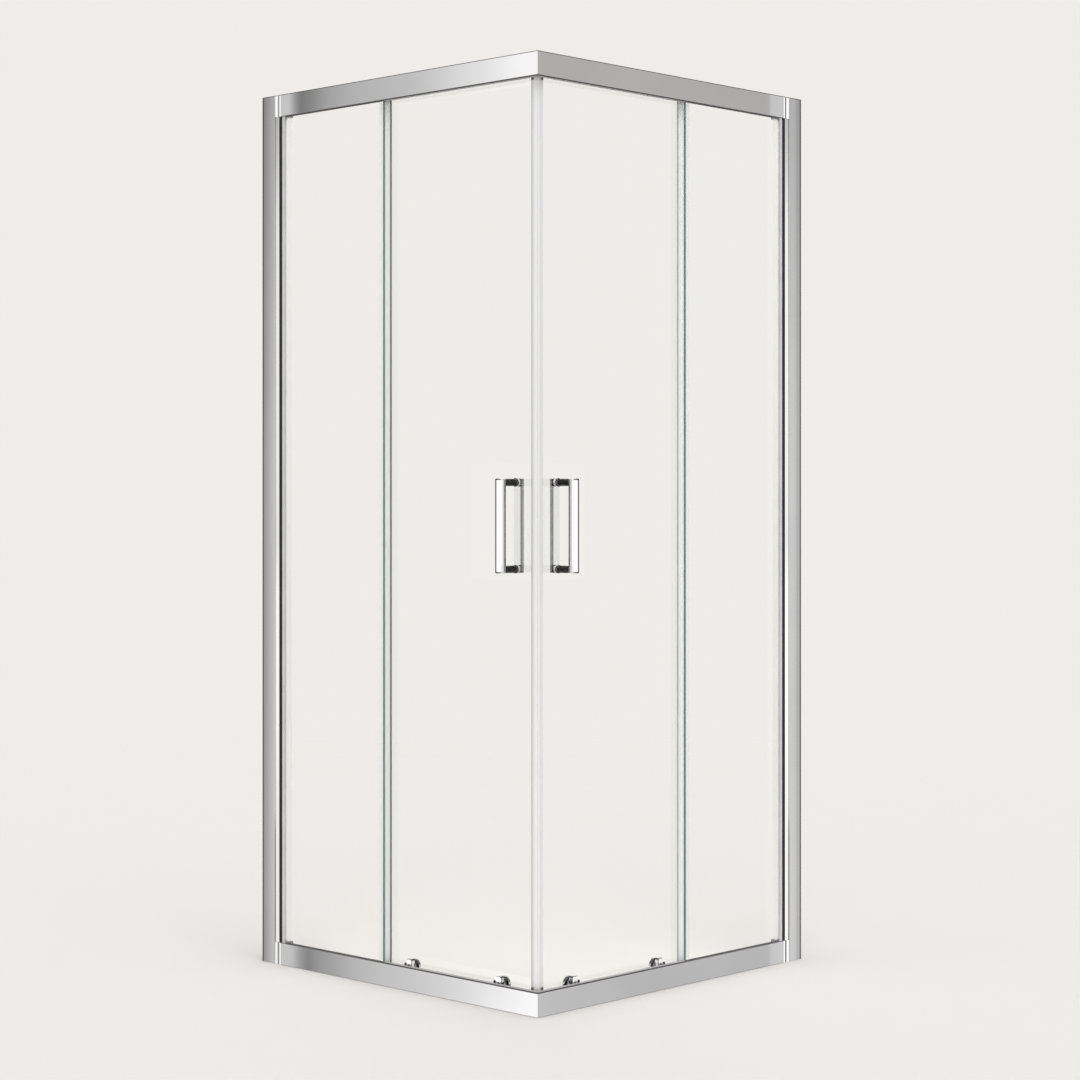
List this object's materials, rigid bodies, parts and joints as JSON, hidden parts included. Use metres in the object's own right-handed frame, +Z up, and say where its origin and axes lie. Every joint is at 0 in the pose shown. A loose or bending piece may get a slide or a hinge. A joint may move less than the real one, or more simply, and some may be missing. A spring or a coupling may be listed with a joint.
{
  "type": "shower enclosure",
  "caption": "Square corner-entry shower enclosure: two wings, each a fixed glass pane and a sliding glass door on rollers, in a polished frame with bar handles.",
  "frame": {"origin": "on the floor, under the middle of the enclosure's bounding box", "axes": "+Z up; one wing runs along +X from the outer corner and the other along +Y; the walls are at the +X and +Y sides and the outer corner is at -X -Y"},
  "size_m": [0.9114, 0.9114, 2],
  "materials": {
    "aluminium": "polished",
    "chrome": "polished",
    "steel": "satin",
    "clear_glass": "clear",
    "clear_seal": "translucent",
    "black_rubber": "matte",
    "grey_rubber": "matte",
    "magnet": "matte",
    "black_plastic": "smooth",
    "white_nylon": "smooth",
    "zinc": "cast"
  },
  "bodies": {
    "frame": {"corner_connectors": "zinc", "connector_screws": "steel", "rail_end_caps": "chrome", "post_screws": "steel", "filler_strips": "grey_rubber", "door_stops": "black_rubber", "right_wall_profile": "aluminium", "right_jamb_post": "aluminium", "right_top_rail": "aluminium", "right_bottom_rail": "aluminium", "right_fixed_glass": "clear_glass", "right_glazing_gasket": "grey_rubber", "left_wall_profile": "aluminium", "left_jamb_post": "aluminium", "left_top_rail": "aluminium", "left_bottom_rail": "aluminium", "left_fixed_glass": "clear_glass", "left_glazing_gasket": "grey_rubber"},
    "right_door": {"right_door_glass": "clear_glass", "right_magnet_seal": "clear_seal", "right_magnet_core": "magnet", "right_trailing_seal": "clear_seal", "right_handle_outer_bar": "chrome", "right_handle_inner_bar": "chrome", "right_handle_standoffs": "black_plastic", "right_handle_gaskets": "black_rubber", "right_handle_bolts": "steel", "right_top_roller_brackets": "chrome", "right_bottom_roller_brackets": "chrome", "right_roller_knobs": "chrome", "right_roller_gaskets": "black_rubber"},
    "right_front_top_wheel": {"right_front_top_wheel": "white_nylon"},
    "right_front_release": {"right_front_release_slider": "black_plastic", "right_front_release_spring": "steel"},
    "right_front_bottom_wheel": {"right_front_bottom_wheel": "white_nylon"},
    "right_rear_top_wheel": {"right_rear_top_wheel": "white_nylon"},
    "right_rear_release": {"right_rear_release_slider": "black_plastic", "right_rear_release_spring": "steel"},
    "right_rear_bottom_wheel": {"right_rear_bottom_wheel": "white_nylon"},
    "left_door": {"left_door_glass": "clear_glass", "left_magnet_seal": "clear_seal", "left_magnet_core": "magnet", "left_trailing_seal": "clear_seal", "left_handle_outer_bar": "chrome", "left_handle_inner_bar": "chrome", "left_handle_standoffs": "black_plastic", "left_handle_gaskets": "black_rubber", "left_handle_bolts": "steel", "left_top_roller_brackets": "chrome", "left_bottom_roller_brackets": "chrome", "left_roller_knobs": "chrome", "left_roller_gaskets": "black_rubber"},
    "left_front_top_wheel": {"left_front_top_wheel": "white_nylon"},
    "left_front_release": {"left_front_release_slider": "black_plastic", "left_front_release_spring": "steel"},
    "left_front_bottom_wheel": {"left_front_bottom_wheel": "white_nylon"},
    "left_rear_top_wheel": {"left_rear_top_wheel": "white_nylon"},
    "left_rear_release": {"left_rear_release_slider": "black_plastic", "left_rear_release_spring": "steel"},
    "left_rear_bottom_wheel": {"left_rear_bottom_wheel": "white_nylon"}
  },
  "joints": [
    {"name": "right_door_slide", "type": "slide", "parent": "frame", "child": "right_door", "axis": [1, 0, 0], "range_m": [0, 0.312]},
    {"name": "right_front_top_wheel_spin", "type": "hinge", "parent": "right_door", "child": "right_front_top_wheel", "pos_m": [-0.30125, -0.4131, 1.984], "axis": [0, 1, 0], "range_deg": [-1, 2556]},
    {"name": "right_front_release_lift", "type": "slide", "parent": "right_door", "child": "right_front_release", "axis": [0, 0, 1], "range_m": [0, 0.005], "stiffness_N_per_m": 1000, "springref_m": -0.004, "deforming": ["right_front_release_spring"]},
    {"name": "right_front_bottom_wheel_spin", "type": "hinge", "parent": "right_front_release", "child": "right_front_bottom_wheel", "pos_m": [-0.30125, -0.4131, 0.0248], "axis": [0, 1, 0], "range_deg": [-1, 2556]},
    {"name": "right_rear_top_wheel_spin", "type": "hinge", "parent": "right_door", "child": "right_rear_top_wheel", "pos_m": [-0.02625, -0.4131, 1.984], "axis": [0, 1, 0], "range_deg": [-1, 2556]},
    {"name": "right_rear_release_lift", "type": "slide", "parent": "right_door", "child": "right_rear_release", "axis": [0, 0, 1], "range_m": [0, 0.005], "stiffness_N_per_m": 1000, "springref_m": -0.004, "deforming": ["right_rear_release_spring"]},
    {"name": "right_rear_bottom_wheel_spin", "type": "hinge", "parent": "right_rear_release", "child": "right_rear_bottom_wheel", "pos_m": [-0.02625, -0.4131, 0.0248], "axis": [0, 1, 0], "range_deg": [-1, 2556]},
    {"name": "left_door_slide", "type": "slide", "parent": "frame", "child": "left_door", "axis": [0, 1, 0], "range_m": [0, 0.312]},
    {"name": "left_front_top_wheel_spin", "type": "hinge", "parent": "left_door", "child": "left_front_top_wheel", "pos_m": [-0.4131, -0.30125, 1.984], "axis": [-1, 0, 0], "range_deg": [-1, 2556]},
    {"name": "left_front_release_lift", "type": "slide", "parent": "left_door", "child": "left_front_release", "axis": [0, 0, 1], "range_m": [0, 0.005], "stiffness_N_per_m": 1000, "springref_m": -0.004, "deforming": ["left_front_release_spring"]},
    {"name": "left_front_bottom_wheel_spin", "type": "hinge", "parent": "left_front_release", "child": "left_front_bottom_wheel", "pos_m": [-0.4131, -0.30125, 0.0248], "axis": [-1, 0, 0], "range_deg": [-1, 2556]},
    {"name": "left_rear_top_wheel_spin", "type": "hinge", "parent": "left_door", "child": "left_rear_top_wheel", "pos_m": [-0.4131, -0.02625, 1.984], "axis": [-1, 0, 0], "range_deg": [-1, 2556]},
    {"name": "left_rear_release_lift", "type": "slide", "parent": "left_door", "child": "left_rear_release", "axis": [0, 0, 1], "range_m": [0, 0.005], "stiffness_N_per_m": 1000, "springref_m": -0.004, "deforming": ["left_rear_release_spring"]},
    {"name": "left_rear_bottom_wheel_spin", "type": "hinge", "parent": "left_rear_release", "child": "left_rear_bottom_wheel", "pos_m": [-0.4131, -0.02625, 0.0248], "axis": [-1, 0, 0], "range_deg": [-1, 2556]}
  ],
  "couplings": [
    {"joint": "right_front_top_wheel_spin", "follows": "right_door_slide", "rad_per_m": 142.86},
    {"joint": "right_front_bottom_wheel_spin", "follows": "right_door_slide", "rad_per_m": 142.86},
    {"joint": "right_rear_top_wheel_spin", "follows": "right_door_slide", "rad_per_m": 142.86},
    {"joint": "right_rear_bottom_wheel_spin", "follows": "right_door_slide", "rad_per_m": 142.86},
    {"joint": "left_front_top_wheel_spin", "follows": "left_door_slide", "rad_per_m": 142.86},
    {"joint": "left_front_bottom_wheel_spin", "follows": "left_door_slide", "rad_per_m": 142.86},
    {"joint": "left_rear_top_wheel_spin", "follows": "left_door_slide", "rad_per_m": 142.86},
    {"joint": "left_rear_bottom_wheel_spin", "follows": "left_door_slide", "rad_per_m": 142.86}
  ]
}
